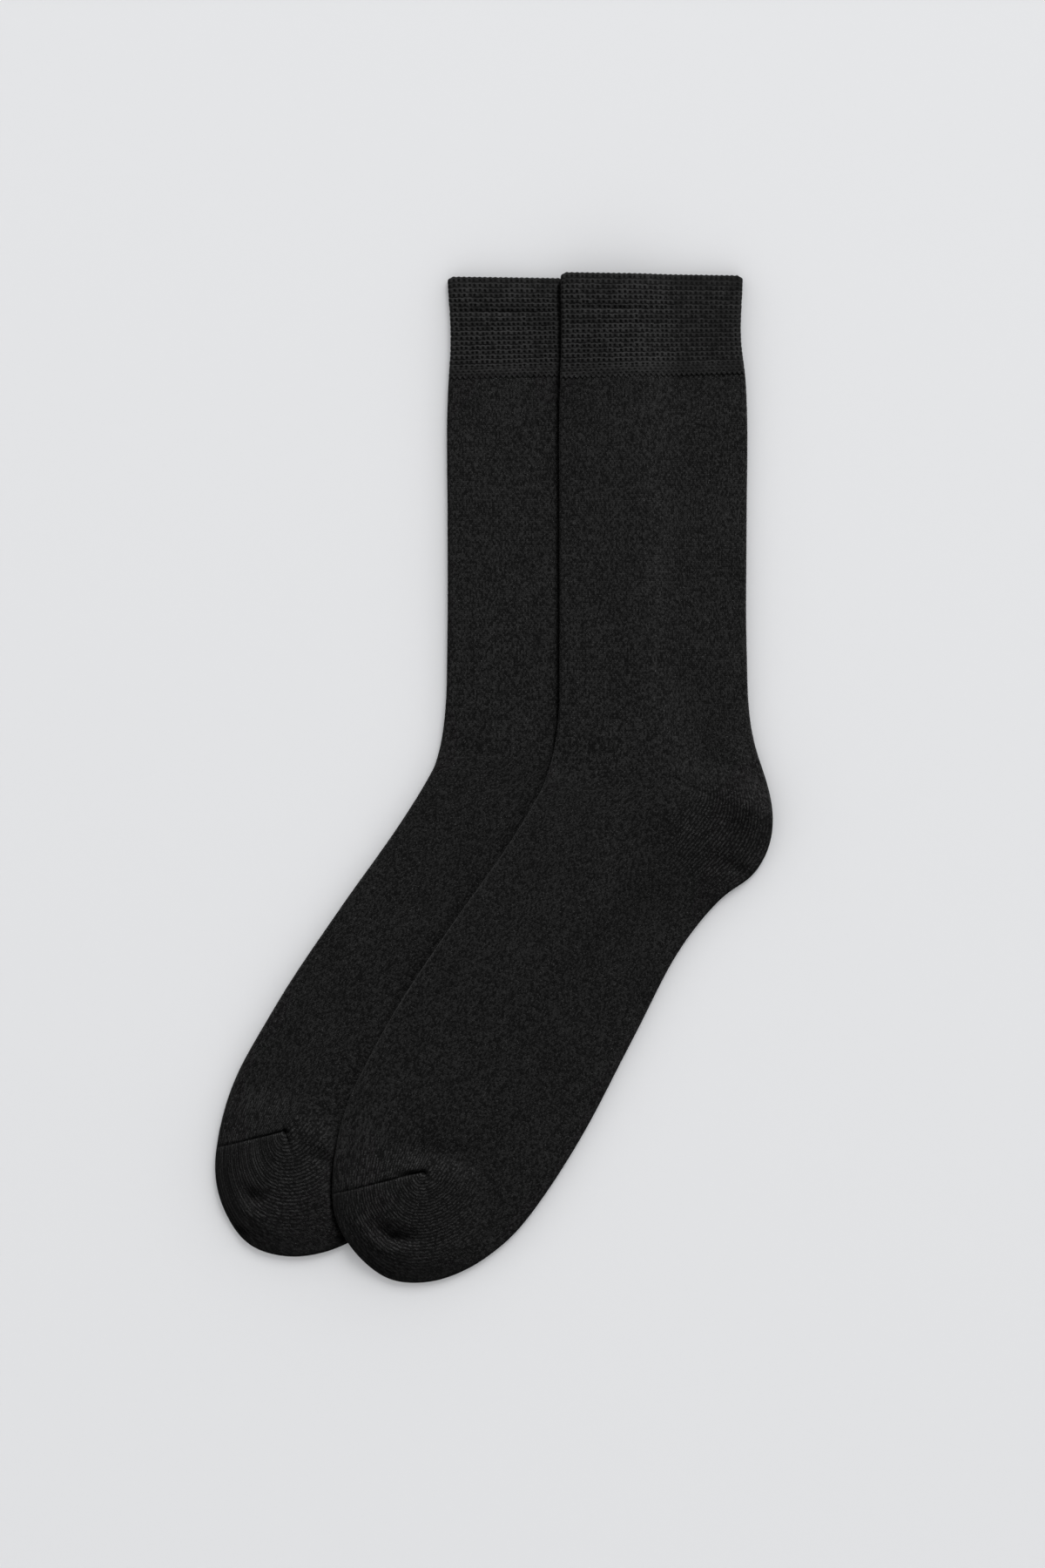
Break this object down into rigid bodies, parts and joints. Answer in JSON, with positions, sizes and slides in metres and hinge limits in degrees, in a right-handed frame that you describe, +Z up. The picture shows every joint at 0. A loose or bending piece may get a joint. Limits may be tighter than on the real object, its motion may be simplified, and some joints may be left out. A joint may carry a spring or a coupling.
{
  "type": "pair of socks",
  "caption": "Plain knitted crew socks laid flat, one lapped over the other, with mesh-knit cuffs, heel pockets and linked toes.",
  "frame": {"origin": "middle of the pair's plan, on the surface that it lies on", "axes": "+Z up out of the surface; +Y from the toes towards the cuffs, along the legs; +X towards the heels, so the toes point to -X and -Y"},
  "size_m": [0.2624, 0.4754, 0.0072],
  "materials": {
    "cuff_knit": "matt near-black cotton, raised mesh knit with small eyelets",
    "jersey": "matt near-black cotton, fine plain knit with thin upright wales"
  },
  "bodies": {
    "root": {"lower_sock_cuff": "cuff_knit", "lower_sock_leg": "jersey", "lower_sock_heel": "jersey", "lower_sock_foot": "jersey", "lower_sock_toe": "jersey", "upper_sock_cuff": "cuff_knit", "upper_sock_leg": "jersey", "upper_sock_heel": "jersey", "upper_sock_foot": "jersey", "upper_sock_toe": "jersey"}
  },
  "joints": []
}
